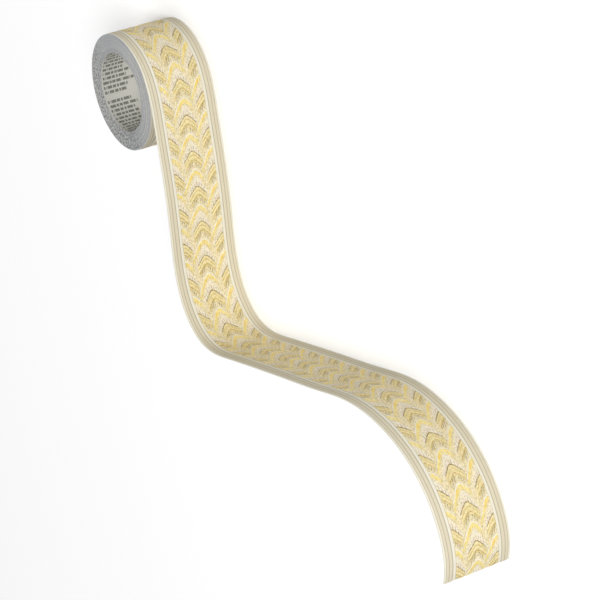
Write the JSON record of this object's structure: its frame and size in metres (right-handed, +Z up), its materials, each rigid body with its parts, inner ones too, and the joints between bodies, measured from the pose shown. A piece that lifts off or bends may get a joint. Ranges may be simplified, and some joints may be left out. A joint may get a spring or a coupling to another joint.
{
  "type": "roll of decorative border trim",
  "caption": "Roll of narrow decorative border strip lying on its side face, round an open hole, with its pulled-off end standing beside it on edge in S-shaped bends.",
  "frame": {"origin": "on the floor, under the middle of the whole outline", "axes": "+X along the longest side of the outline, from the loose end to the roll; +Z up, along the roll's axis and across the strip"},
  "size_m": [0.4082, 0.2836, 0.05],
  "materials": {
    "printed_face": "cream and gold printed, softly embossed film with a low sheen",
    "wound_edges": "matt cut edges of the wound strip, and its pale grey release paper"
  },
  "bodies": {
    "root": {"wound_roll": "wound_edges", "loose_tail": "printed_face"}
  },
  "joints": []
}
